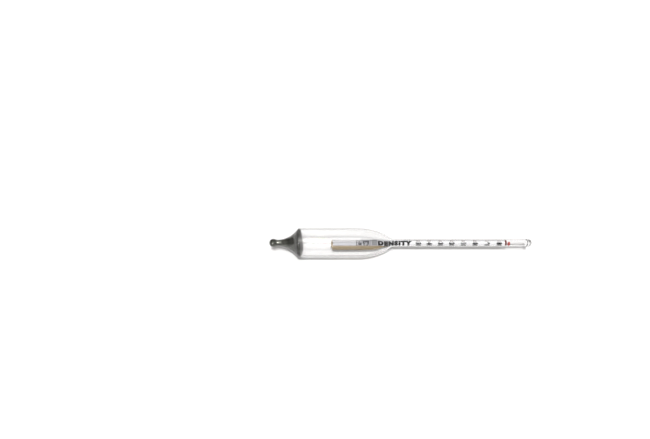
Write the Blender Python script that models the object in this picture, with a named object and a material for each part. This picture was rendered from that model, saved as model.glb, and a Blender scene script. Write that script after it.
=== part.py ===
"""A short-form laboratory hydrometer, in metres, +Z up, lying on its glass bulb.

The instrument is a sealed glass float with nothing that moves.  Its axis runs along +X, from the
knob at the weighted end to the closed end of the stem, and the bulb rests on the plane Z = 0.

Pieces, from the weighted end to the stem's end:
  bulb_glass      blown glass bulb: end knob, flared nose, cylinder and most of the shoulder
  ballast_shot    dense slug of fine shot that fills the nose and makes the float stand upright
  ballast_cement  set layer that covers the shot and locks it in place
  stem_glass      drawn glass stem, closed at its end and fused to the shoulder of the bulb
  paper_liner     plain rolled sheet inside the printed one, which holds it out against the stem
  scale_paper     printed strip, rolled tight in the stem and sprung open in the bulb
  paper_dab       drop of sealing cement in the stem that marks and locks the end of the strip
"""

import math

import bmesh
import bpy
from mathutils import Vector

# Driving dimensions.  Heights are measured along the axis from the end of the knob.
LENGTH = 0.165
BULB_RADIUS = 0.00915
BULB_WALL = 0.0007
STEM_RADIUS = 0.00235
STEM_WALL = 0.00045
GAP = 0.0003                # clearance between pieces that touch on the real instrument

# The glass outline: every round stretch is an arc that is tangent to its neighbours.
KNOB_RADIUS = 0.0026
NECK_RADIUS = 0.00195
NECK_HEIGHT = 0.0050
FLARE_ARC = 0.0155          # radius of the concave curve from the neck to the bulb
CORNER_ARC = 0.0013         # radius of the rounded edge where the flare meets the cylinder
SHOULDER_HEIGHT = 0.0560
SHOULDER_ARC = 0.037        # radius of the long convex curve from the cylinder to the stem
SHOULDER_FILLET = 0.004     # radius of the small concave curve at the foot of the stem
FUSE_HEIGHT = 0.0725        # where the stem's glass is fused to the bulb's
STEM_END_THICKNESS = 0.0021

# The ballast.
SHOT_TOP = 0.0172
CEMENT_RIM_TOP = 0.0198
CEMENT_DOME = 0.0010        # how far the middle of the cement stands above its rim

# The rolled papers.  Each is one sheet: a roll radius in the bulb, another in the stem, and how
# far the open end of the roll has moved off the axis.
PAPER_THICKNESS = 0.00012
PAPER_BOTTOM = 0.0386
PAPER_TOP = 0.1490
PAPER_SLANT = 0.0016        # how much higher the sheet's free edge starts than its inner edge
PAPER_WIDTH = 0.0124
PAPER_PITCH = 0.00025       # how far a full turn of the roll steps inwards
PAPER_BULB_RADIUS = 0.00328
PAPER_STEM_RADIUS = 0.00162
PAPER_BULB_OFFSET = (-0.0009, -0.0008)    # Y and Z
PAPER_BULB_EDGE = math.radians(36)        # free edge, as an angle from +Z towards -Y
PAPER_STEM_EDGE = math.radians(92)
PAPER_OPENS = (0.0665, 0.0785)            # heights between which the roll springs open
OPENING_EASE = 1.5                        # above 1, a roll stays open further up the shoulder

LINER_BOTTOM = 0.0396
LINER_TOP = 0.1470
LINER_TURN = math.radians(340)
LINER_BULB_RADIUS = 0.0023
LINER_STEM_RADIUS = 0.00095
LINER_BULB_OFFSET = (-0.0017, -0.0013)
LINER_EDGE = math.radians(190)
LINER_OPENS = (0.0640, 0.0760)

# The drop of sealing cement on the wall of the stem's bore.
DAB_HEIGHT = 0.1503
DAB_LENGTH = 0.0018
DAB_ANGLE = math.radians(57)
DAB_SPREAD = math.radians(110)
DAB_THICKNESS = 0.0006

# Mesh fineness.
SIDES = 32                  # flats round each turned piece; the lowest one lies on Z = 0
ARC_STEPS = 8               # for the long arcs
SHORT_ARC_STEPS = 4         # for the bulb's rounded edge and the cement's dome
NECK_STEPS = 3
FILLET_STEPS = 5
ROLL_STEPS = 30
DAB_SEGMENTS = 16
DAB_RINGS = 8
STATIONS_BULB = 5
STATIONS_OPENING = 8
STATIONS_STEM = 4
MERGE_DISTANCE = 0.00001
SMOOTH_ANGLE = math.radians(35)

# Centres of the outline's arcs, as (radius, height), worked out from the dimensions above.
FLARE_CENTRE = (NECK_RADIUS + FLARE_ARC, NECK_HEIGHT)
CORNER_CENTRE = (
    BULB_RADIUS - CORNER_ARC,
    NECK_HEIGHT + math.sqrt(
        (FLARE_ARC + CORNER_ARC) ** 2 - (FLARE_CENTRE[0] - BULB_RADIUS + CORNER_ARC) ** 2
    ),
)
SHOULDER_CENTRE = (BULB_RADIUS - SHOULDER_ARC, SHOULDER_HEIGHT)


def clear_scene():
    """Remove every object that the file holds."""
    for old in list(bpy.data.objects):
        bpy.data.objects.remove(old, do_unlink=True)


def make_material(name, colour, roughness, metallic=0.0, alpha=1.0):
    """Return a Principled material."""
    material = bpy.data.materials.new(name)
    material.use_nodes = True
    shader = material.node_tree.nodes["Principled BSDF"]
    shader.inputs["Base Color"].default_value = (*colour, 1.0)
    shader.inputs["Roughness"].default_value = roughness
    shader.inputs["Metallic"].default_value = metallic
    shader.inputs["Alpha"].default_value = alpha
    material.diffuse_color = (*colour, alpha)
    return material


def add_object(name, mesh, material, parent):
    """Put a mesh in the scene as one named, smooth-shaded sub-part."""
    mesh.materials.append(material)
    mesh.shade_smooth()
    mesh.set_sharp_from_angle(angle=SMOOTH_ANGLE)
    piece = bpy.data.objects.new(name, mesh)
    bpy.context.scene.collection.objects.link(piece)
    piece.parent = parent
    return piece


def add_axis():
    """Add the empty that carries every piece: its own Z is the instrument's axis, along +X."""
    axis = bpy.data.objects.new("hydrometer_axis", None)
    bpy.context.scene.collection.objects.link(axis)
    axis.location = (-LENGTH / 2, 0.0, BULB_RADIUS)
    axis.rotation_euler = (0.0, math.radians(90), 0.0)
    return axis


def arc(centre, radius, start, end, steps=ARC_STEPS):
    """Points (radius, height) along an arc; angles run from the outward direction upwards."""
    points = []
    for step in range(steps + 1):
        angle = start + (end - start) * step / steps
        points.append((centre[0] + radius * math.cos(angle), centre[1] + radius * math.sin(angle)))
    return points


def direction(start, end):
    """The angle of the line from one (radius, height) point to another."""
    return math.atan2(end[1] - start[1], end[0] - start[0])


def knob_outline(inset):
    """The knob and its neck, from the end of the instrument up to the neck.

    inset is how far the line lies inside the outer surface: 0 on it, a wall's thickness in the
    cavity.  The same holds for the outlines below.
    """
    rise = NECK_HEIGHT - KNOB_RADIUS
    neck_arc = (rise ** 2 + NECK_RADIUS ** 2 - KNOB_RADIUS ** 2) / (2 * (KNOB_RADIUS - NECK_RADIUS))
    knob_centre = (0.0, KNOB_RADIUS)
    neck_centre = (NECK_RADIUS + neck_arc, NECK_HEIGHT)
    meeting = direction(knob_centre, neck_centre)
    knob = arc(knob_centre, KNOB_RADIUS - inset, -math.pi / 2, meeting)
    neck = arc(neck_centre, neck_arc + inset, meeting - math.pi, -math.pi, steps=NECK_STEPS)
    return knob + neck[1:]


def flare_outline(inset):
    """Concave flare and rounded edge, from the neck to the foot of the cylinder."""
    meeting = direction(FLARE_CENTRE, CORNER_CENTRE)
    flare = arc(FLARE_CENTRE, FLARE_ARC + inset, math.pi, meeting)
    corner = arc(CORNER_CENTRE, CORNER_ARC - inset, meeting - math.pi, 0.0, steps=SHORT_ARC_STEPS)
    return flare + corner[1:]


def shoulder_outline(inset, bottom, top):
    """The stretch of the long shoulder curve between two heights."""
    radius = SHOULDER_ARC - inset
    start = math.asin((bottom - SHOULDER_HEIGHT) / radius)
    end = math.asin((top - SHOULDER_HEIGHT) / radius)
    return arc(SHOULDER_CENTRE, radius, start, end)


def stem_outline(inset, radius, fillet, closed_height):
    """From the fused joint up the shoulder and the stem to the rounded end, on the axis."""
    shoulder_arc = SHOULDER_ARC - inset
    fillet_radius = radius + fillet
    rise = math.sqrt((shoulder_arc + fillet) ** 2 - (fillet_radius - SHOULDER_CENTRE[0]) ** 2)
    fillet_centre = (fillet_radius, SHOULDER_HEIGHT + rise)
    meeting = direction(SHOULDER_CENTRE, fillet_centre)
    meeting_height = SHOULDER_HEIGHT + shoulder_arc * math.sin(meeting)
    shoulder = shoulder_outline(inset, FUSE_HEIGHT + GAP, meeting_height)
    foot = arc(fillet_centre, fillet, meeting - math.pi, -math.pi, steps=FILLET_STEPS)
    end = arc((0.0, closed_height - radius), radius, 0.0, math.pi / 2)
    return shoulder + foot[1:] + end


def on_axis(points):
    """Snap the points of an outline that lie on the axis to a radius of exactly zero."""
    return [(0.0 if abs(radius) < MERGE_DISTANCE else radius, height) for radius, height in points]


def turned(name, outline, material, parent):
    """Turn an outline round the axis.  It runs down the outer side, from top to bottom.

    The outline is widened so that the flats of the turned shape, and not its corners, lie at the
    stated radius, and turned by half a flat so that one flat faces straight down.
    """
    widen = 1 / math.cos(math.pi / SIDES)
    shape = bmesh.new()
    corners = [shape.verts.new((radius * widen, 0.0, height)) for radius, height in on_axis(outline)]
    for upper, lower in zip(corners, corners[1:]):
        shape.edges.new((upper, lower))
    mesh = bpy.data.meshes.new(name)
    shape.to_mesh(mesh)
    shape.free()
    piece = add_object(name, mesh, material, parent)
    piece.rotation_euler.z = math.pi / SIDES
    screw = piece.modifiers.new("turn", "SCREW")
    screw.axis = "Z"
    screw.steps = SIDES
    screw.render_steps = SIDES
    screw.use_merge_vertices = True
    screw.merge_threshold = MERGE_DISTANCE
    screw.use_smooth_shade = True
    return piece


def add_bulb(parent):
    """Blown bulb: a shell from the knob to the fused joint, open where the stem joins it."""
    glass = make_material("bulb_glass", (0.90, 0.93, 0.93), 0.03, alpha=0.35)
    inside = knob_outline(BULB_WALL) + flare_outline(BULB_WALL)[1:]
    inside += shoulder_outline(BULB_WALL, SHOULDER_HEIGHT, FUSE_HEIGHT)
    outside = knob_outline(0.0) + flare_outline(0.0)[1:]
    outside += shoulder_outline(0.0, SHOULDER_HEIGHT, FUSE_HEIGHT)
    turned("bulb_glass", inside + outside[::-1], glass, parent)


def add_stem(parent):
    """Drawn stem: a tube with a thick rounded end and a trumpet foot, open at the bulb."""
    glass = make_material("stem_glass", (0.92, 0.94, 0.94), 0.03, alpha=0.35)
    outside = stem_outline(0.0, STEM_RADIUS, SHOULDER_FILLET, LENGTH)
    bore = STEM_RADIUS - STEM_WALL
    inside = stem_outline(BULB_WALL, bore, SHOULDER_FILLET + STEM_WALL, LENGTH - STEM_END_THICKNESS)
    turned("stem_glass", outside[::-1] + inside, glass, parent)


def cavity_below(height, inset):
    """The part of the nose cavity's outline that lies below a height, cut off level there."""
    points = knob_outline(inset) + flare_outline(inset)[1:]
    below = [point for point in points if point[1] < height]
    above = [point for point in points if point[1] >= height]
    last, following = below[-1], above[0]
    share = (height - last[1]) / (following[1] - last[1])
    cut = (last[0] + share * (following[0] - last[0]), height)
    return below + [cut]


def add_ballast_shot(parent):
    """Slug of fine shot, which fills the nose of the bulb down into the knob."""
    shot = make_material("ballast_shot", (0.12, 0.125, 0.115), 0.55, metallic=0.6)
    side = cavity_below(SHOT_TOP, BULB_WALL + GAP)
    turned("ballast_shot", [(0.0, SHOT_TOP)] + side[::-1], shot, parent)


def add_ballast_cement(parent):
    """Set layer over the shot, with a low domed top."""
    cement = make_material("ballast_cement", (0.17, 0.165, 0.15), 0.5)
    inset = BULB_WALL + GAP
    bottom = SHOT_TOP + GAP
    foot = cavity_below(bottom, inset)[-1]
    side = [point for point in flare_outline(inset) if point[1] > bottom]
    rim_radius = BULB_RADIUS - inset
    dome_arc = (rim_radius ** 2 + CEMENT_DOME ** 2) / (2 * CEMENT_DOME)
    dome_centre = (0.0, CEMENT_RIM_TOP + CEMENT_DOME - dome_arc)
    rim_angle = direction(dome_centre, (rim_radius, CEMENT_RIM_TOP))
    dome = arc(dome_centre, dome_arc, math.pi / 2, rim_angle, steps=SHORT_ARC_STEPS)
    turned("ballast_cement", dome + side[::-1] + [foot, (0.0, bottom)], cement, parent)


def sprung_open(height, opens):
    """How far the stem holds a roll closed at a height: 0 in the bulb, rising smoothly to 1."""
    share = (height - opens[0]) / (opens[1] - opens[0])
    eased = min(max(share, 0.0), 1.0) ** OPENING_EASE
    return eased * eased * (3 - 2 * eased)


def mix(bulb_value, stem_value, closed):
    """Blend a value in the bulb with its value in the stem."""
    return bulb_value + (stem_value - bulb_value) * closed


def stations(bottom, opens, top):
    """Heights of a roll's cross-sections, closest together where the roll opens."""
    heights = []
    for low, high, count in (
        (bottom, opens[0], STATIONS_BULB),
        (opens[0], opens[1], STATIONS_OPENING),
        (opens[1], top, STATIONS_STEM),
    ):
        heights += [low + (high - low) * step / count for step in range(count)]
    return heights + [top]


def roll_point(radius, angle, height, offset):
    """A point of a roll in the frame of the axis empty; angles run from up towards -Y."""
    across = offset[0] - radius * math.sin(angle)
    up = offset[1] + radius * math.cos(angle)
    return Vector((-up, across, height))


def paper_section(height, slant_share):
    """Cross-section of the printed strip at a height, from its free edge inwards."""
    closed = sprung_open(height, PAPER_OPENS)
    radius = mix(PAPER_BULB_RADIUS, PAPER_STEM_RADIUS, closed)
    edge = mix(PAPER_BULB_EDGE, PAPER_STEM_EDGE, closed)
    offset = [mix(shift, 0.0, closed) for shift in PAPER_BULB_OFFSET]
    turn = PAPER_WIDTH / (radius - PAPER_PITCH / 2)
    section = []
    for step in range(ROLL_STEPS + 1):
        share = step / ROLL_STEPS
        inward = PAPER_PITCH * share * turn / math.tau
        lift = PAPER_SLANT * (1 - share) * slant_share
        section.append(roll_point(radius - inward, edge - turn * share, height + lift, offset))
    return section


def liner_section(height):
    """Cross-section of the plain liner at a height."""
    closed = sprung_open(height, LINER_OPENS)
    radius = mix(LINER_BULB_RADIUS, LINER_STEM_RADIUS, closed)
    offset = [mix(shift, 0.0, closed) for shift in LINER_BULB_OFFSET]
    section = []
    for step in range(ROLL_STEPS + 1):
        angle = LINER_EDGE - LINER_TURN * step / ROLL_STEPS
        section.append(roll_point(radius, angle, height, offset))
    return section


def rolled_sheet(name, sections, material, parent):
    """Join cross-sections into one sheet and give it the thickness of paper."""
    shape = bmesh.new()
    rows = [[shape.verts.new(point) for point in section] for section in sections]
    for lower, upper in zip(rows, rows[1:]):
        for column in range(ROLL_STEPS):
            shape.faces.new((lower[column], upper[column], upper[column + 1], lower[column + 1]))
    mesh = bpy.data.meshes.new(name)
    shape.to_mesh(mesh)
    shape.free()
    piece = add_object(name, mesh, material, parent)
    thickness = piece.modifiers.new("thickness", "SOLIDIFY")
    thickness.thickness = PAPER_THICKNESS
    thickness.offset = 0.0
    return piece


def add_scale_paper(parent):
    """Printed strip: over one turn in the stem, open to a little more than half in the bulb."""
    paper = make_material("scale_paper", (0.86, 0.86, 0.85), 0.7)
    heights = stations(PAPER_BOTTOM, PAPER_OPENS, PAPER_TOP)
    slants = [1.0 - min(1.0, step / STATIONS_BULB) for step in range(len(heights))]
    sections = [paper_section(height, slant) for height, slant in zip(heights, slants)]
    rolled_sheet("scale_paper", sections, paper, parent)


def add_paper_liner(parent):
    """Plain tan sheet rolled inside the printed strip."""
    tan = make_material("paper_liner", (0.55, 0.45, 0.31), 0.6)
    sections = [liner_section(height) for height in stations(LINER_BOTTOM, LINER_OPENS, LINER_TOP)]
    rolled_sheet("paper_liner", sections, tan, parent)


def add_paper_dab(parent):
    """Drop of red sealing cement: a flattened ball, bent to the round wall of the bore."""
    red = make_material("paper_dab", (0.55, 0.06, 0.05), 0.35)
    outer_radius = STEM_RADIUS - STEM_WALL - GAP
    middle_radius = outer_radius - DAB_THICKNESS / 2
    shape = bmesh.new()
    bmesh.ops.create_uvsphere(shape, u_segments=DAB_SEGMENTS, v_segments=DAB_RINGS, radius=1.0)
    for corner in shape.verts:
        along, around, outwards = corner.co
        corner.co = roll_point(
            middle_radius + outwards * DAB_THICKNESS / 2,
            DAB_ANGLE - around * DAB_SPREAD / 2,
            DAB_HEIGHT + along * DAB_LENGTH / 2,
            (0.0, 0.0),
        )
    bmesh.ops.recalc_face_normals(shape, faces=shape.faces)
    mesh = bpy.data.meshes.new("paper_dab")
    shape.to_mesh(mesh)
    shape.free()
    add_object("paper_dab", mesh, red, parent)


def main():
    """Build the instrument."""
    clear_scene()
    axis = add_axis()
    add_bulb(axis)
    add_ballast_shot(axis)
    add_ballast_cement(axis)
    add_stem(axis)
    add_scale_paper(axis)
    add_paper_liner(axis)
    add_paper_dab(axis)


main()
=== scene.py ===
"""Looks of a short-form glass hydrometer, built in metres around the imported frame.

The instrument's axis runs along +X and it lies on its bulb.  Round pieces are described by an
outline of (radius, height) points, where the height is measured along the axis from the end of
the knob.  Angles round the axis run from straight up (+Z) towards the camera's side (-Y).
"""

import math

import bmesh
import bpy
from mathutils import Matrix, Vector, noise


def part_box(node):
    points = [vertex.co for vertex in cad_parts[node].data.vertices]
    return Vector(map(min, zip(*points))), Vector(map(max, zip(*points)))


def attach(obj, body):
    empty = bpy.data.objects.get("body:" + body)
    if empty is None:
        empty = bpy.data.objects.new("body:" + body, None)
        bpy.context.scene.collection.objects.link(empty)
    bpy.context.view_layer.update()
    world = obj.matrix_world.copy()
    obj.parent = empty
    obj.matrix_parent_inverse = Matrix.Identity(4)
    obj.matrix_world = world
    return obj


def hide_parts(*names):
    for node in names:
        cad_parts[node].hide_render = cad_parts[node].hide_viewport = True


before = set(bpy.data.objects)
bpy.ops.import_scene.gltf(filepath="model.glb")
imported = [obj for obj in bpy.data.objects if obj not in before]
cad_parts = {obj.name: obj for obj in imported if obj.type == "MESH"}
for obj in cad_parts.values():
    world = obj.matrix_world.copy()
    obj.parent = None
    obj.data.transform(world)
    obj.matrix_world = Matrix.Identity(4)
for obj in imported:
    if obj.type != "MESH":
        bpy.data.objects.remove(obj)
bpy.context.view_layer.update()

MM = 0.001

# Sizes that the frame gives.
GLASS_LOW, GLASS_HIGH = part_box("bulb_glass")
STEM_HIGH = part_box("stem_glass")[1]
START_X = GLASS_LOW.x                       # end of the knob
LENGTH = STEM_HIGH.x - GLASS_LOW.x
BULB_RADIUS = (GLASS_HIGH.y - GLASS_LOW.y) / 2
AXIS_Z = (GLASS_HIGH.z + GLASS_LOW.z) / 2
FUSE_HEIGHT = GLASS_HIGH.x - START_X
CEMENT_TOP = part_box("ballast_cement")[1].x - START_X
SHOT_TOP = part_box("ballast_shot")[1].x - START_X
PAPER_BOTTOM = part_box("scale_paper")[0].x - START_X
PAPER_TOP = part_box("scale_paper")[1].x - START_X
LINER_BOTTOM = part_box("paper_liner")[0].x - START_X
LINER_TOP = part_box("paper_liner")[1].x - START_X
DAB_LOW, DAB_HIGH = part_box("paper_dab")

# The glass outline.
BULB_WALL = 0.70 * MM
STEM_RADIUS = 2.35 * MM
STEM_WALL = 0.45 * MM
KNOB_RADIUS = 2.6 * MM
NECK_RADIUS = 1.95 * MM
NECK_HEIGHT = 5.0 * MM
FLARE_ARC = 15.5 * MM
CORNER_ARC = 1.3 * MM
SHOULDER_HEIGHT = 56.0 * MM
SHOULDER_ARC = 37.0 * MM
SHOULDER_FILLET = 4.0 * MM
STEM_END_THICKNESS = 2.1 * MM
STEM_START = 79.0 * MM          # where the shoulder has narrowed to the stem
FUSE_RIDGE = 0.05 * MM          # how far the fused joint stands proud
FUSE_RIDGE_WIDTH = 0.45 * MM

# The ballast.
GLASS_CONTACT = 0.14 * MM       # the ballast overlaps the glass, so that no air gap shows between them
LAYER_GAP = 0.02 * MM
PELLET_SIZE = 0.62 * MM
PELLET_RELIEF = 0.10 * MM
CEMENT_DOME = 1.0 * MM
CEMENT_RELIEF = 0.10 * MM
CEMENT_LUMP_SIZE = 1.2 * MM

# The rolled papers.  A pair of radii or edges is for the bulb and the stem.
PAPER_THICKNESS = 0.10 * MM
PAPER_SLANT = 1.6 * MM
PAPER_WIDTH = 12.4 * MM
PAPER_PITCH = 0.25 * MM
PAPER_RADII = (3.28 * MM, 1.78 * MM)
PAPER_OFFSET = (-0.9 * MM, -0.8 * MM)
PAPER_EDGES = (math.radians(36), math.radians(92))
PAPER_OPENS = (66.5 * MM, 78.5 * MM)
OPENING_EASE = 1.5              # above 1, a roll stays open further up the shoulder
SLANT_SHARE = 0.25              # the slant fades out over this share of the sheet
LINER_RADII = (2.3 * MM, 0.95 * MM)
LINER_OFFSET = (-1.7 * MM, -1.3 * MM)
LINER_EDGE = math.radians(190)
LINER_TURN = math.radians(340)
LINER_OPENS = (64.0 * MM, 76.0 * MM)

# The sheets are darker where they stand open in the bulb. The sheets are toned down where they
# stand open in the bulb, which is a guess at shade or ageing. Places go by share of the
# instrument's length.
PAPER_TONE = ((0.42, (0.56, 0.56, 0.58)), (0.50, (1.0, 1.0, 1.0)))

# The drop of red cement.
DAB_ANGLE = math.radians(57)
DAB_HALF_SPREAD = math.radians(50)
DAB_DEPTH = 0.35 * MM
DAB_FILL = 0.95                 # share of the CAD drop's length
DAB_SQUARENESS = 0.7            # 1 is round, and less is squarer
DAB_LUMPS = 0.16
DAB_LUMP_SCALE = 1.7

# The print, in the sheet's own measures: height along the axis, and distance from the free edge.
INK_LIFT = 0.02 * MM
INK_THICKNESS = 0.006 * MM
INK_CUT = 0.30 * MM             # letters are cut this fine, so that they follow the sheet's curve
LETTER_SPREAD = 2.6             # how much further apart letters stand as their strokes thicken
SCALE_FIRST = 1.250
SCALE_LAST = 1.180
DIVISIONS_PER_UNIT = 1000
SCALE_FIRST_HEIGHT = 92.2 * MM
FLOAT_LENGTH = 1067.0 * MM      # about its displaced volume of water over the stem's cross-section
NUMBER_LIFT = 1.2 * MM          # the numbers' middle stands this far above their line

# Every how many divisions a line has this length and width.  The first that fits holds.
NUMBER_EVERY = 10
LINE_SIZES = ((NUMBER_EVERY, 1.1 * MM, 0.16 * MM), (5, 0.85 * MM, 0.10 * MM), (1, 0.6 * MM, 0.10 * MM))

# Lettering: size and boldness, distance from the free edge, and the length it is fitted to.
LAST_FIGURES = (4.2 * MM, 0.34 * MM, 1.1 * MM, 2.1 * MM)
FIRST_FIGURES = (2.6 * MM, 0.14 * MM, 3.1 * MM, 0.95 * MM)
TITLE_STYLE = (3.4 * MM, 0.33 * MM)
SMALL_STYLE = (2.0 * MM, 0.18 * MM)
HEADINGS = (                    # words, style, height, distance from the free edge, length
    ("DENSITY", TITLE_STYLE, 78.4 * MM, 1.45 * MM, 21.5 * MM),
    ("AT 60 F", SMALL_STYLE, 56.1 * MM, 2.5 * MM, 3.5 * MM),
    ("RANGE", SMALL_STYLE, 60.7 * MM, 2.5 * MM, 4.2 * MM),
    ("1.180", SMALL_STYLE, 56.1 * MM, 0.8 * MM, 3.5 * MM),
    ("TO 1.250", SMALL_STYLE, 60.7 * MM, 0.8 * MM, 4.2 * MM),
)
BORDER_START = 84.5 * MM
BARS = (                        # ink, height, distance from the free edge, sizes along and across
    ("black", (BORDER_START + PAPER_TOP) / 2, 4.0 * MM, PAPER_TOP - BORDER_START, 1.0 * MM),
    ("red", PAPER_TOP - 0.65 * MM, 3.1 * MM, 1.1 * MM, 6.0 * MM),
    ("black", 63.6 * MM, 2.4 * MM, 0.25 * MM, 4.4 * MM),
    ("grey", 65.9 * MM, 2.4 * MM, 3.4 * MM, 4.4 * MM),
)
INKS = {
    "black": ((0.006, 0.006, 0.007), (0.014, 0.014, 0.015)),
    "red": ((0.07, 0.012, 0.010), (0.13, 0.024, 0.02)),
    "grey": ((0.20, 0.20, 0.21), (0.27, 0.27, 0.28)),
}

# Glass.  The stops go by the slope of the surface, from facing the viewer or the light (0) to
# edge on (1).  RIM darkens what is seen through it towards the edge, a painted dark outline.  SHADE is
# how much light it lets through to what lies behind it: first in front of the bulb's axis or below the
# stem's, and then on the far side.
GLASS_IOR = 1.473
GLASS_SPECULAR = 0.3
OUTSIDE_RIM = ((0.40, 0.99), (0.58, 0.80), (0.70, 0.36), (0.85, 0.05))
STEM_RIM = ((0.35, 0.99), (0.52, 0.80), (0.66, 0.36), (0.80, 0.05))
END_RIM = ((0.05, 0.95), (0.25, 0.55), (0.50, 0.30), (0.80, 0.10))
CAVITY_RIM = ((0.55, 0.99), (0.74, 0.60))
BULB_SHADE = (
    ((0.0, 0.995), (0.45, 0.99), (0.50, 0.28), (1.0, 0.22)),
    ((0.0, 0.995), (0.34, 0.99), (0.38, 0.40), (0.42, 0.40), (0.47, 0.95), (1.0, 0.90)),
)
STEM_SHADE = (
    ((0.0, 0.12), (0.07, 0.20), (0.14, 0.85), (1.0, 0.95)),
    ((0.0, 0.97), (0.30, 0.97), (0.60, 0.90), (1.0, 0.90)),
)
END_SHADE = (((0.0, 0.12), (0.20, 0.15), (0.45, 0.60), (1.0, 0.80)),) * 2
CAVITY_SHADE = (((0.0, 0.99), (1.0, 0.97)),) * 2

# Mesh fineness.
TURN_STEPS = 160
ARC_SPACING = 0.25 * MM
CAP_SPACING = 0.5 * MM
CYLINDER_SPACING = 2.0 * MM
STEM_SPACING = 4.0 * MM
PAPER_GRID = (200, 90)          # rows and columns
LINER_GRID = (160, 72)
DAB_GRID = (48, 32)
SHARP_ANGLE = math.radians(40)
SAME_PLACE = 1e-7               # points closer than this are one

# The colour sockets of a Mix node.
MIX_FACTOR, MIX_FIRST, MIX_SECOND, MIX_RESULT = 0, 6, 7, 2

# Camera: a 30 mm lens looks down at 60 degrees, and the instrument lies right of the middle.
LENS_MM = 30.0
SENSOR_MM = 36.0
CAMERA_TILT = math.radians(60)
CAMERA_DISTANCE = 0.341
CAMERA_LEFT = 0.0474
CAMERA_ABOVE = 0.0147

# Light.  The softbox hangs over the instrument, with a brighter panel in its middle.  Their levels
# go by the angle round the X axis in degrees, and then by the sideways part of the direction.
KEY = {"energy": 2.15, "width": 2, "elevation": 78, "from_left": 1}         # angles in degrees
FILL = {"energy": 0.60, "width": 6, "elevation": 66, "from_left": 9}
SOFTBOX = (
    (0, 0.50), (4, 0.02), (10, 0.02), (15, 0.45), (50, 0.45), (54, 0.20), (66, 0.20), (70, 0.90),
    (106, 0.90), (112, 0.10), (134, 0.10), (140, 0.80), (165, 0.80), (180, 0.40),
)
SOFTBOX_SIDEWAYS = (
    (-0.45, 0.12), (-0.30, 1.0), (0.09, 1.0), (0.14, 0.40), (0.36, 0.40), (0.45, 0.40), (1.0, 0.70),
)
PANEL = ((70, 0.0), (74, 2.0), (92, 2.0), (97, 0.0))
PANEL_SIDEWAYS = ((-0.16, 0.0), (-0.12, 1.0), (0.10, 1.0), (0.15, 0.0))
ROOM_STRENGTH = 1.2
ROOM_TINT = (1.0, 0.965, 0.94, 1.0)

# The floor.
FLOOR_HALF_SIZE = 3.0
FLOOR_COLOUR = (0.90, 0.90, 0.90, 1.0)


def arc(centre, radius, start, end):
    """Points along an arc of a (radius, height) outline, about ARC_SPACING apart."""
    steps = max(4, math.ceil(abs(end - start) * radius / ARC_SPACING))
    points = []
    for step in range(steps + 1):
        angle = start + (end - start) * step / steps
        points.append((centre[0] + radius * math.cos(angle), centre[1] + radius * math.sin(angle)))
    return points


def straight(start, end, spacing):
    """Points along a straight stretch of an outline, after its first."""
    run = math.hypot(end[0] - start[0], end[1] - start[1])
    steps = max(1, math.ceil(run / spacing))
    return [
        (start[0] + (end[0] - start[0]) * step / steps, start[1] + (end[1] - start[1]) * step / steps)
        for step in range(1, steps + 1)
    ]


def direction(start, end):
    """The angle of the line from one outline point to another."""
    return math.atan2(end[1] - start[1], end[0] - start[0])


FLARE_CENTRE = (NECK_RADIUS + FLARE_ARC, NECK_HEIGHT)
CORNER_RISE = math.sqrt(
    (FLARE_ARC + CORNER_ARC) ** 2 - (FLARE_CENTRE[0] - BULB_RADIUS + CORNER_ARC) ** 2
)
CORNER_CENTRE = (BULB_RADIUS - CORNER_ARC, NECK_HEIGHT + CORNER_RISE)
SHOULDER_CENTRE = (BULB_RADIUS - SHOULDER_ARC, SHOULDER_HEIGHT)


def knob_outline(inset):
    """Knob and neck, from the end of the instrument up."""
    rise = NECK_HEIGHT - KNOB_RADIUS
    neck_arc = (rise ** 2 + NECK_RADIUS ** 2 - KNOB_RADIUS ** 2) / (2 * (KNOB_RADIUS - NECK_RADIUS))
    neck_centre = (NECK_RADIUS + neck_arc, NECK_HEIGHT)
    meeting = direction((0.0, KNOB_RADIUS), neck_centre)
    knob = arc((0.0, KNOB_RADIUS), KNOB_RADIUS - inset, -math.pi / 2, meeting)
    return knob + arc(neck_centre, neck_arc + inset, meeting - math.pi, -math.pi)[1:]


def flare_outline(inset):
    """Concave flare and rounded edge, from the neck to the foot of the cylinder."""
    meeting = direction(FLARE_CENTRE, CORNER_CENTRE)
    flare = arc(FLARE_CENTRE, FLARE_ARC + inset, math.pi, meeting)
    return flare + arc(CORNER_CENTRE, CORNER_ARC - inset, meeting - math.pi, 0.0)[1:]


def shoulder_and_stem_outline(inset, radius, fillet, closed_height):
    """From the head of the cylinder over the shoulder and along the stem to its closed end."""
    shoulder_arc = SHOULDER_ARC - inset
    fillet_radius = radius + fillet
    rise = math.sqrt((shoulder_arc + fillet) ** 2 - (fillet_radius - SHOULDER_CENTRE[0]) ** 2)
    fillet_centre = (fillet_radius, SHOULDER_HEIGHT + rise)
    meeting = direction(SHOULDER_CENTRE, fillet_centre)
    shoulder = arc(SHOULDER_CENTRE, shoulder_arc, 0.0, meeting)
    foot = arc(fillet_centre, fillet, meeting - math.pi, -math.pi)
    stem_top = (radius, closed_height - radius)
    stem = straight(foot[-1], stem_top, STEM_SPACING)
    end = arc((0.0, stem_top[1]), radius, 0.0, math.pi / 2)
    return shoulder + foot[1:] + stem + end[1:]


def with_fuse_ridge(outline):
    """Add the low ring that the fused joint leaves on the outside of the shoulder."""
    ridged = []
    for radius, height in outline:
        distance = (height - FUSE_HEIGHT) / FUSE_RIDGE_WIDTH
        ridged.append((radius + FUSE_RIDGE * math.exp(-distance ** 2), height))
    return ridged


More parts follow.
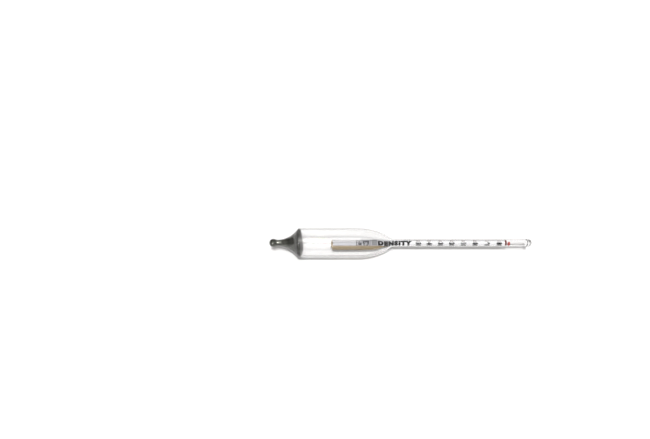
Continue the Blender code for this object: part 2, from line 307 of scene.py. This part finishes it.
def glass_outside():
    """Outside of the whole envelope, from the knob to the end of the stem."""
    bulb = knob_outline(0.0) + flare_outline(0.0)[1:]
    bulb += straight(bulb[-1], (BULB_RADIUS, SHOULDER_HEIGHT), CYLINDER_SPACING)
    upper = shoulder_and_stem_outline(0.0, STEM_RADIUS, SHOULDER_FILLET, LENGTH)
    return bulb + with_fuse_ridge(upper[1:])


def glass_inside():
    """Inside of the whole envelope, from the knob to the end of the bore."""
    bulb = knob_outline(BULB_WALL) + flare_outline(BULB_WALL)[1:]
    bulb += straight(bulb[-1], (BULB_RADIUS - BULB_WALL, SHOULDER_HEIGHT), CYLINDER_SPACING)
    bore = STEM_RADIUS - STEM_WALL
    upper = shoulder_and_stem_outline(
        BULB_WALL, bore, SHOULDER_FILLET + STEM_WALL, LENGTH - STEM_END_THICKNESS
    )
    return bulb + upper[1:]


def axis_point(radius, angle, height, offset=(0.0, 0.0)):
    """A point in the world, from its place round and along the instrument's axis."""
    across = offset[0] - radius * math.sin(angle)
    up = offset[1] + radius * math.cos(angle)
    return Vector((START_X + height, across, AXIS_Z + up))


def new_piece(name, shape, material):
    """Turn a bmesh into a smooth piece that rides on the frame."""
    mesh = bpy.data.meshes.new(name)
    shape.to_mesh(mesh)
    shape.free()
    mesh.materials.append(material)
    mesh.shade_smooth()
    mesh.set_sharp_from_angle(angle=SHARP_ANGLE)
    piece = bpy.data.objects.new(name, mesh)
    bpy.context.scene.collection.objects.link(piece)
    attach(piece, "root")
    return piece


def turn(shape, outline, relief=None):
    """Add an outline turned round the axis.

    An outline that runs down faces outwards, and one that runs up faces the axis.
    """
    rings = []
    for radius, height in outline:
        if radius < SAME_PLACE:
            rings.append([shape.verts.new(axis_point(0.0, 0.0, height))])
            continue
        ring = []
        for step in range(TURN_STEPS):
            angle = math.tau * step / TURN_STEPS
            depth = relief(axis_point(radius, angle, height)) if relief else 0.0
            ring.append(shape.verts.new(axis_point(radius - depth, angle, height)))
        rings.append(ring)
    for upper, lower in zip(rings, rings[1:]):
        for step in range(TURN_STEPS):
            following = (step + 1) % TURN_STEPS
            if len(upper) == 1:
                corners = (upper[0], lower[step], lower[following])
            elif len(lower) == 1:
                corners = (upper[step], lower[0], upper[following])
            else:
                corners = (upper[step], lower[step], lower[following], upper[following])
            shape.faces.new(corners)


def grey_stops(stops):
    """Stops of a grey colour ramp, from places and levels."""
    return [(place, (level, level, level)) for place, level in stops]


class Nodes:
    """A small helper that adds nodes to a material and links them."""

    def __init__(self, name):
        self.material = bpy.data.materials.new(name)
        self.material.use_nodes = True
        self.tree = self.material.node_tree
        self.shader = self.tree.nodes["Principled BSDF"]
        self.output = self.tree.nodes["Material Output"]

    def add(self, kind, **settings):
        """Add a node.  Settings that name an input set it; the others are the node's own."""
        node = self.tree.nodes.new(kind)
        for name, value in settings.items():
            if name in node.inputs:
                node.inputs[name].default_value = value
            else:
                setattr(node, name, value)
        return node

    def link(self, output, target):
        """Join an output socket to an input socket."""
        self.tree.links.new(output, target)

    def position(self, scale=(1.0, 1.0, 1.0)):
        """Object coordinates, stretched along an axis where wanted."""
        coordinates = self.add("ShaderNodeTexCoord")
        mapping = self.add("ShaderNodeMapping")
        mapping.inputs["Scale"].default_value = scale
        self.link(coordinates.outputs["Object"], mapping.inputs["Vector"])
        return mapping.outputs["Vector"]

    def noise(self, scale, detail=3.0, roughness=0.5, stretch=(1.0, 1.0, 1.0)):
        """A noise texture's value."""
        texture = self.add("ShaderNodeTexNoise", Scale=scale, Detail=detail, Roughness=roughness)
        self.link(self.position(stretch), texture.inputs["Vector"])
        return texture.outputs["Fac"]

    def ramp(self, factor, stops):
        """Colours along a factor."""
        node = self.add("ShaderNodeValToRGB")
        elements = node.color_ramp.elements
        while len(elements) < len(stops):
            elements.new(0.5)
        for element, (place, colour) in zip(elements, stops):
            element.position = place
            element.color = (*colour, 1.0)
        self.link(factor, node.inputs["Fac"])
        return node.outputs["Color"]

    def blend(self, mode, factor, first, second):
        """Two colours mixed.  The factor and the second colour may be values or sockets."""
        node = self.add("ShaderNodeMix", data_type="RGBA", blend_type=mode)
        self.link(first, node.inputs[MIX_FIRST])
        for value, socket in ((factor, node.inputs[MIX_FACTOR]), (second, node.inputs[MIX_SECOND])):
            if isinstance(value, bpy.types.NodeSocket):
                self.link(value, socket)
            else:
                socket.default_value = value
        return node.outputs[MIX_RESULT]

    def maths(self, operation, *values):
        """A maths node on sockets or numbers."""
        node = self.add("ShaderNodeMath", operation=operation)
        for socket, value in zip(node.inputs, values):
            if isinstance(value, bpy.types.NodeSocket):
                self.link(value, socket)
            else:
                socket.default_value = value
        return node.outputs["Value"]

    def place(self, axis):
        """Where a point lies along one of the object's axes, in metres."""
        parts = self.add("ShaderNodeSeparateXYZ")
        self.link(self.position(), parts.inputs["Vector"])
        return parts.outputs[axis]

    def bump(self, height, strength, distance):
        """Bump from a height value, into the shader's normal."""
        node = self.add("ShaderNodeBump", Strength=strength, Distance=distance)
        self.link(height, node.inputs["Height"])
        self.link(node.outputs["Normal"], self.shader.inputs["Normal"])


def glass_material(name, rim, shade, axis="Y", middle=0.0):
    """Clear glass.  Light reaches what is behind it through a stand-in that shades by the slope.

    The second row of shade holds where the place along the axis is past the middle.
    """
    nodes = Nodes(name)
    shader = nodes.shader
    shader.inputs["Roughness"].default_value = 0.0
    shader.inputs["IOR"].default_value = GLASS_IOR
    shader.inputs["Specular IOR Level"].default_value = GLASS_SPECULAR
    shader.inputs["Transmission Weight"].default_value = 1.0
    drawn = nodes.noise(scale=400.0, detail=2.0, roughness=0.5, stretch=(0.12, 1.0, 1.0))
    nodes.bump(drawn, strength=0.01, distance=0.2 * MM)
    slope = nodes.add("ShaderNodeLayerWeight", Blend=0.5).outputs["Facing"]
    # The rim ramp darkens the glass's colour towards its edges: a painted dark outline.
    nodes.link(nodes.ramp(slope, grey_stops(rim)), shader.inputs["Base Color"])
    near, far = [nodes.ramp(slope, grey_stops(stops)) for stops in shade]
    beyond = nodes.maths("GREATER_THAN", nodes.place(axis), middle)
    clear = nodes.add("ShaderNodeBsdfTransparent")
    nodes.link(nodes.blend("MIX", beyond, near, far), clear.inputs["Color"])
    path = nodes.add("ShaderNodeLightPath")
    either = nodes.maths("MAXIMUM", path.outputs["Is Shadow Ray"], path.outputs["Is Diffuse Ray"])
    choice = nodes.add("ShaderNodeMixShader")
    nodes.link(either, choice.inputs["Fac"])
    nodes.link(shader.outputs["BSDF"], choice.inputs[1])
    nodes.link(clear.outputs["BSDF"], choice.inputs[2])
    nodes.link(choice.outputs["Shader"], nodes.output.inputs["Surface"])
    return nodes.material


def shot_material():
    """Fine dull metal shot, set close together, with a greenish grey cast."""
    nodes = Nodes("metal_shot")
    cells = nodes.add("ShaderNodeTexVoronoi", Scale=1.0 / PELLET_SIZE)
    nodes.link(nodes.position(), cells.inputs["Vector"])
    # Pellets are lighter in their middles and darker towards the gaps: painted shade between the pellets.
    grains_with_painted_gap_shade = nodes.ramp(cells.outputs["Distance"], [
        (0.0, (0.42, 0.43, 0.39)),
        (0.40, (0.20, 0.205, 0.185)),
        (0.80, (0.02, 0.021, 0.018)),
    ])
    patches = nodes.ramp(nodes.noise(scale=260.0, detail=4.0, roughness=0.6), [
        (0.3, (0.55, 0.56, 0.52)),
        (0.7, (1.0, 1.0, 1.0)),
    ])
    nodes.link(nodes.blend("MULTIPLY", 1.0, grains_with_painted_gap_shade, patches), nodes.shader.inputs["Base Color"])
    nodes.shader.inputs["Metallic"].default_value = 0.9
    nodes.shader.inputs["Roughness"].default_value = 0.27
    nodes.bump(nodes.noise(scale=5000.0, detail=2.0), strength=0.3, distance=0.1 * MM)
    return nodes.material


def cement_material():
    """Dark mottled cement over the shot."""
    nodes = Nodes("shot_cement")
    colour = nodes.ramp(nodes.noise(scale=900.0, detail=5.0, roughness=0.65), [
        (0.30, (0.016, 0.016, 0.014)),
        (0.52, (0.046, 0.046, 0.041)),
        (0.75, (0.13, 0.13, 0.118)),
    ])
    nodes.link(colour, nodes.shader.inputs["Base Color"])
    nodes.shader.inputs["Metallic"].default_value = 0.3
    nodes.shader.inputs["Roughness"].default_value = 0.5
    nodes.bump(nodes.noise(scale=2500.0), strength=0.4, distance=0.1 * MM)
    return nodes.material


def paper_material(name, dark, light, roughness):
    """Paper with a faint fibre grain, in the tone of its place along the instrument."""
    nodes = Nodes(name)
    grain = nodes.noise(scale=1800.0, detail=5.0, roughness=0.6, stretch=(0.3, 1.0, 1.0))
    colour = nodes.ramp(grain, [(0.3, dark), (0.7, light)])
    share = nodes.maths("MULTIPLY_ADD", nodes.place("X"), 1 / LENGTH, -START_X / LENGTH)
    tone = nodes.ramp(share, PAPER_TONE)
    nodes.link(nodes.blend("MULTIPLY", 1.0, colour, tone), nodes.shader.inputs["Base Color"])
    nodes.shader.inputs["Roughness"].default_value = roughness
    nodes.bump(nodes.noise(scale=6000.0), strength=0.15, distance=0.04 * MM)
    return nodes.material


def ink_material(name, dark, light):
    """Matt printed ink, slightly uneven."""
    nodes = Nodes(name)
    colour = nodes.ramp(nodes.noise(scale=5000.0), [(0.3, dark), (0.7, light)])
    nodes.link(colour, nodes.shader.inputs["Base Color"])
    nodes.shader.inputs["Roughness"].default_value = 0.7
    nodes.shader.inputs["Specular IOR Level"].default_value = 0.1
    return nodes.material


def dab_material():
    """Glossy red sealing cement with paler streaks."""
    nodes = Nodes("red_cement")
    colour = nodes.ramp(nodes.noise(scale=1500.0, detail=4.0, roughness=0.6), [
        (0.30, (0.22, 0.030, 0.026)),
        (0.55, (0.40, 0.055, 0.050)),
        (0.80, (0.62, 0.20, 0.16)),
    ])
    nodes.link(colour, nodes.shader.inputs["Base Color"])
    nodes.shader.inputs["Roughness"].default_value = 0.3
    nodes.shader.inputs["Coat Weight"].default_value = 0.5
    nodes.bump(nodes.noise(scale=3000.0), strength=0.3, distance=0.1 * MM)
    return nodes.material


def make_glass():
    """The sealed envelope, as one shell: its outside, and the wall of its cavity.

    Its materials, in order, are for the bulb, the stem, the stem's round end and the cavity.
    """
    shape = bmesh.new()
    turn(shape, glass_outside()[::-1])
    for face in shape.faces:
        height = face.calc_center_median().x - START_X
        face.material_index = (height > STEM_START) + (height > LENGTH - STEM_RADIUS)
    outside = len(shape.faces)
    turn(shape, glass_inside())
    shape.faces.ensure_lookup_table()
    for face in shape.faces[outside:]:
        face.material_index = 3
    piece = new_piece("glass_envelope", shape, glass_material("bulb_glass", OUTSIDE_RIM, BULB_SHADE))
    for material in (
        glass_material("stem_glass", STEM_RIM, STEM_SHADE, "Z", AXIS_Z),
        glass_material("end_glass", END_RIM, END_SHADE, "Z", AXIS_Z),
        glass_material("cavity_glass", CAVITY_RIM, CAVITY_SHADE),
    ):
        piece.data.materials.append(material)
    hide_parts("bulb_glass", "stem_glass")


def pellet_relief(point):
    """How deep the gap between pellets is at a point."""
    distances, _ = noise.voronoi(point / PELLET_SIZE)
    return PELLET_RELIEF * min(1.0, distances[0]) ** 2


def cement_relief(point):
    """Unevenness of the cement's surface."""
    return CEMENT_RELIEF * (0.5 + 0.5 * noise.noise(point / CEMENT_LUMP_SIZE))


def nose_side(inset):
    """The outline of what fills the nose, from its blind end to the foot of the cylinder."""
    return knob_outline(inset) + flare_outline(inset)[1:]


def make_shot():
    """Fine shot that fills the nose of the bulb down into the knob."""
    side = [point for point in nose_side(BULB_WALL - GLASS_CONTACT) if point[1] < SHOT_TOP]
    top_radius = side[-1][0]
    cap = straight((0.0, SHOT_TOP), (top_radius, SHOT_TOP), CAP_SPACING)
    shape = bmesh.new()
    turn(shape, [(0.0, SHOT_TOP)] + cap + side[::-1], pellet_relief)
    piece = new_piece("shot_slug", shape, shot_material())
    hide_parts("ballast_shot")


def make_cement():
    """The set layer that covers the shot, with a domed top."""
    inset = BULB_WALL - GLASS_CONTACT
    bottom = SHOT_TOP + LAYER_GAP
    side = [point for point in flare_outline(inset) if point[1] > bottom]
    rim = (BULB_RADIUS - inset, CEMENT_TOP - CEMENT_DOME)
    side += straight(side[-1], rim, ARC_SPACING)
    dome_arc = (rim[0] ** 2 + CEMENT_DOME ** 2) / (2 * CEMENT_DOME)
    dome_centre = (0.0, CEMENT_TOP - dome_arc)
    dome = arc(dome_centre, dome_arc, math.pi / 2, direction(dome_centre, rim))
    foot = straight((side[0][0], bottom), (0.0, bottom), CAP_SPACING)
    shape = bmesh.new()
    outline = dome + side[::-1][1:] + [(side[0][0], bottom)] + foot
    turn(shape, outline, cement_relief)
    piece = new_piece("cement_layer", shape, cement_material())
    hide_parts("ballast_cement")


def held_closed(height, opens):
    """How far a roll is held closed at a height: 0 in the bulb, where it has sprung open, 1 in the stem."""
    share = (height - opens[0]) / (opens[1] - opens[0])
    share = min(max(share, 0.0), 1.0) ** OPENING_EASE
    return share * share * (3 - 2 * share)


def mix(values, closed):
    """Blend a value in the bulb with its value in the stem."""
    return values[0] + (values[1] - values[0]) * closed


def paper_point(height, inward, lift):
    """A point of the printed sheet, from its height and its distance from the free edge."""
    closed = held_closed(height, PAPER_OPENS)
    radius = mix(PAPER_RADII, closed)
    turned = inward / (radius - PAPER_PITCH / 2)
    offset = [shift * (1 - closed) for shift in PAPER_OFFSET]
    rolled_radius = radius - PAPER_PITCH * turned / math.tau + PAPER_THICKNESS / 2
    return axis_point(rolled_radius + lift, mix(PAPER_EDGES, closed) - turned, height, offset)


def liner_point(height, share, lift):
    """A point of the plain liner, from its height and its place across the sheet."""
    closed = held_closed(height, LINER_OPENS)
    offset = [shift * (1 - closed) for shift in LINER_OFFSET]
    radius = mix(LINER_RADII, closed) + PAPER_THICKNESS / 2
    return axis_point(radius + lift, LINER_EDGE - LINER_TURN * share, height, offset)


def rolled_sheet(name, point_at, rows, columns, materials):
    """A closed thin sheet, with its first material outside and its last one inside.

    point_at gives a point from a row share, a column share and a lift.
    """
    shape = bmesh.new()
    faces = []
    for lift in (0.0, -PAPER_THICKNESS):
        grid = []
        for row in range(rows + 1):
            grid.append([
                shape.verts.new(point_at(row / rows, column / columns, lift))
                for column in range(columns + 1)
            ])
        faces.append(grid)
    front, back = faces
    for row in range(rows):
        for column in range(columns):
            corners = ((row, column), (row + 1, column), (row + 1, column + 1), (row, column + 1))
            shape.faces.new([front[r][c] for r, c in corners])
            inner = shape.faces.new([back[r][c] for r, c in reversed(corners)])
            inner.material_index = len(materials) - 1
    border = [(row, 0) for row in range(rows)]
    border += [(rows, column) for column in range(columns)]
    border += [(row, columns) for row in range(rows, 0, -1)]
    border += [(0, column) for column in range(columns, 0, -1)]
    for (row, column), (next_row, next_column) in zip(border, border[1:] + border[:1]):
        shape.faces.new((
            front[next_row][next_column], front[row][column],
            back[row][column], back[next_row][next_column],
        ))
    bmesh.ops.recalc_face_normals(shape, faces=shape.faces)
    piece = new_piece(name, shape, materials[0])
    for material in materials[1:]:
        piece.data.materials.append(material)
    return piece


def make_papers():
    """The printed sheet and the plain liner rolled inside it."""
    white = paper_material("printed_paper", (0.78, 0.78, 0.80), (0.86, 0.86, 0.87), 0.55)
    tan = paper_material("tan_paper", (0.42, 0.32, 0.18), (0.64, 0.51, 0.31), 0.27)

    def printed(row, column, lift):
        start = PAPER_BOTTOM + PAPER_SLANT * (1 - column) * (1 - min(1.0, row / SLANT_SHARE))
        return paper_point(start + (PAPER_TOP - start) * row, PAPER_WIDTH * column, lift)

    def plain(row, column, lift):
        return liner_point(LINER_BOTTOM + (LINER_TOP - LINER_BOTTOM) * row, column, lift)

    sheet = rolled_sheet("printed_strip", printed, *PAPER_GRID, [white, tan])
    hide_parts("scale_paper")
    liner = rolled_sheet("tan_liner", plain, *LINER_GRID, [tan])
    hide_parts("paper_liner")


def text_shape(words, size, boldness):
    """Flat lettering as a thin solid, centred on its own origin.

    The bolder the letters are, the further apart they stand.
    """
    curve = bpy.data.curves.new("words", "FONT")
    curve.body = words
    curve.size = size
    curve.align_x = "CENTER"
    curve.align_y = "CENTER"
    curve.resolution_u = 2
    curve.extrude = INK_THICKNESS / 2
    curve.offset = boldness
    curve.space_character = 1.0 + LETTER_SPREAD * boldness / size
    holder = bpy.data.objects.new("words", curve)
    bpy.context.scene.collection.objects.link(holder)
    graph = bpy.context.evaluated_depsgraph_get()
    mesh = bpy.data.meshes.new_from_object(holder.evaluated_get(graph))
    shape = bmesh.new()
    shape.from_mesh(mesh)
    bmesh.ops.remove_doubles(shape, verts=shape.verts, dist=SAME_PLACE)
    bpy.data.objects.remove(holder)
    bpy.data.curves.remove(curve)
    bpy.data.meshes.remove(mesh)
    return shape


def bar_shape(along, across):
    """A flat printed bar as a thin solid, centred on its own origin."""
    shape = bmesh.new()
    bmesh.ops.create_cube(shape, size=1.0)
    size = Matrix.Diagonal((along, across, INK_THICKNESS, 1))
    bmesh.ops.transform(shape, verts=shape.verts, matrix=size)
    return shape


def print_on_sheet(ink, shape, height, inward, turned, fit=None):
    """Print a flat shape on the rolled sheet and add it to a bmesh of one ink.

    turned says that the words run round the stem, so that they read upright when it floats.
    fit is the length that the words are stretched or squeezed to.
    """
    across = [corner.co.x for corner in shape.verts]
    if fit:
        stretch = fit / (max(across) - min(across))
        bmesh.ops.transform(shape, verts=shape.verts, matrix=Matrix.Diagonal((stretch, 1, 1, 1)))
    for cut_axis in (Vector((1, 0, 0)), Vector((0, 1, 0))):
        reach = [corner.co.dot(cut_axis) for corner in shape.verts]
        cut = min(reach) + INK_CUT
        while cut < max(reach):
            bmesh.ops.bisect_plane(
                shape, geom=shape.verts[:] + shape.edges[:] + shape.faces[:],
                plane_co=cut_axis * cut, plane_no=cut_axis,
            )
            cut += INK_CUT
    copies = {}
    for corner in shape.verts:
        along, up, out = corner.co
        if turned:
            place = (height + up, inward - along)
        else:
            place = (height + along, inward + up)
        copies[corner] = ink.verts.new(paper_point(*place, INK_LIFT + INK_THICKNESS / 2 + out))
    for face in shape.faces:
        ink.faces.new([copies[corner] for corner in face.verts])
    shape.free()


def scale_height(gravity):
    """Where a specific gravity reads on the stem, by the law of floating bodies."""
    return SCALE_FIRST_HEIGHT + FLOAT_LENGTH * (1 / gravity - 1 / SCALE_FIRST)


def print_graduation(inks, division):
    """One line of the scale, and its number where it has one."""
    gravity = SCALE_FIRST - division / DIVISIONS_PER_UNIT
    height = scale_height(gravity)
    if division % NUMBER_EVERY == 0:
        label = f"{gravity:.3f}"
        for ink, figures, style in (
            ("black", label[3:], LAST_FIGURES),
            ("red", label[:3], FIRST_FIGURES),
        ):
            size, boldness, inward, fit = style
            number = text_shape(figures, size, boldness)
            print_on_sheet(inks[ink], number, height + NUMBER_LIFT, inward, True, fit)
    length, width = next(size[1:] for size in LINE_SIZES if division % size[0] == 0)
    print_on_sheet(inks["black"], bar_shape(width, length), height, length / 2, False)


def make_print():
    """The graduations, the numbers and the plain headings of the scale."""
    inks = {ink: bmesh.new() for ink in INKS}
    divisions = round((SCALE_FIRST - SCALE_LAST) * DIVISIONS_PER_UNIT)
    for division in range(divisions + 1):
        print_graduation(inks, division)
    for words, style, height, inward, fit in HEADINGS:
        print_on_sheet(inks["black"], text_shape(words, *style), height, inward, False, fit)
    for ink, height, inward, along, across in BARS:
        print_on_sheet(inks[ink], bar_shape(along, across), height, inward, False)
    for ink, shape in inks.items():
        piece = new_piece(f"print_{ink}", shape, ink_material(f"{ink}_ink", *INKS[ink]))
        piece.data.shade_flat()


def make_dab():
    """The drop of red cement, spread on the wall of the bore beside the end of the strip."""
    middle = (DAB_LOW.x + DAB_HIGH.x) / 2 - START_X
    half_length = (DAB_HIGH.x - DAB_LOW.x) / 2
    wall = STEM_RADIUS - STEM_WALL + LAYER_GAP
    shape = bmesh.new()
    segments, rings = DAB_GRID
    bmesh.ops.create_uvsphere(shape, u_segments=segments, v_segments=rings, radius=1.0)
    for corner in shape.verts:
        lumpy = 1 + DAB_LUMPS * noise.noise(corner.co * DAB_LUMP_SCALE)
        squarish = [math.copysign(abs(value) ** DAB_SQUARENESS, value) for value in corner.co]
        along, around, outwards = Vector(squarish) * lumpy
        depth = max(DAB_DEPTH * (1 - outwards), 0.0)
        angle = DAB_ANGLE - around * DAB_HALF_SPREAD
        corner.co = axis_point(wall - depth, angle, middle + along * half_length * DAB_FILL)
    piece = new_piece("sealing_dab", shape, dab_material())
    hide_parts("paper_dab")


def make_floor():
    """A plain pale surface, which isn't part of the object."""
    shape = bmesh.new()
    bmesh.ops.create_grid(shape, x_segments=1, y_segments=1, size=FLOOR_HALF_SIZE)
    mesh = bpy.data.meshes.new("floor")
    shape.to_mesh(mesh)
    shape.free()
    nodes = Nodes("pale_floor")
    nodes.shader.inputs["Base Color"].default_value = FLOOR_COLOUR
    nodes.shader.inputs["Roughness"].default_value = 1.0
    nodes.shader.inputs["Specular IOR Level"].default_value = 0.0
    mesh.materials.append(nodes.material)
    floor = bpy.data.objects.new("floor", mesh)
    bpy.context.scene.collection.objects.link(floor)


def make_camera():
    """The camera, from the front and high above."""
    data = bpy.data.cameras.new("camera")
    data.lens = LENS_MM
    data.sensor_width = SENSOR_MM
    data.clip_start = 1 * MM
    camera = bpy.data.objects.new("camera", data)
    bpy.context.scene.collection.objects.link(camera)
    up = Vector((0.0, math.sin(CAMERA_TILT), math.cos(CAMERA_TILT)))
    back = Vector((0.0, -math.cos(CAMERA_TILT), math.sin(CAMERA_TILT)))
    middle = Vector((START_X + LENGTH / 2, 0.0, AXIS_Z))
    right = Vector((1.0, 0.0, 0.0))
    camera.location = middle + back * CAMERA_DISTANCE - right * CAMERA_LEFT + up * CAMERA_ABOVE
    camera.rotation_euler = (math.pi / 2 - CAMERA_TILT, 0.0, 0.0)
    bpy.context.scene.camera = camera


class World(Nodes):
    """The room's background, built with the same helper as a material."""

    def __init__(self, name):
        self.world = bpy.data.worlds.new(name)
        self.world.use_nodes = True
        self.tree = self.world.node_tree
        self.shader = self.tree.nodes["Background"]


def make_sun(name, energy, width, elevation, from_left):
    """A far light from high on the camera's side and a little to the left, with angles in degrees."""
    light = bpy.data.lights.new(name, "SUN")
    light.energy = energy
    light.angle = math.radians(width)
    lamp = bpy.data.objects.new(name, light)
    bpy.context.scene.collection.objects.link(lamp)
    lamp.rotation_euler = (math.radians(90 - elevation), math.radians(-from_left), 0.0)


def make_room():
    """A dim room with a long soft light overhead, and a brighter panel in the middle of it.

    Places are given by the angle round the X axis, from the horizon on the camera's side over the
    top to the far horizon, and by the sideways part of the direction.
    """
    room = World("room")
    coordinates = room.add("ShaderNodeTexCoord")
    parts = room.add("ShaderNodeSeparateXYZ")
    room.link(coordinates.outputs["Generated"], parts.inputs["Vector"])
    front = room.maths("MULTIPLY", parts.outputs["Y"], -1.0)
    angle = room.maths("ARCTAN2", parts.outputs["Z"], front)
    share = room.maths("DIVIDE", angle, math.pi)
    sideways = room.maths("MULTIPLY_ADD", parts.outputs["X"], 0.5, 0.5)

    def light(angle_stops, sideways_stops):
        along = room.ramp(share, grey_stops((degrees / 180, level) for degrees, level in angle_stops))
        across = room.ramp(sideways, grey_stops(((x + 1) / 2, level) for x, level in sideways_stops))
        return room.blend("MULTIPLY", 1.0, along, across)

    softbox = light(SOFTBOX, SOFTBOX_SIDEWAYS)
    both = room.blend("ADD", 1.0, softbox, light(PANEL, PANEL_SIDEWAYS))
    room.link(room.blend("MULTIPLY", 1.0, both, ROOM_TINT), room.shader.inputs["Color"])
    room.shader.inputs["Strength"].default_value = ROOM_STRENGTH
    bpy.context.scene.world = room.world


make_camera()
make_sun("key", **KEY)
make_sun("fill", **FILL)
make_room()
make_floor()
make_glass()
make_shot()
make_cement()
make_papers()
make_print()
make_dab()
bpy.context.scene.view_settings.view_transform = "Standard"
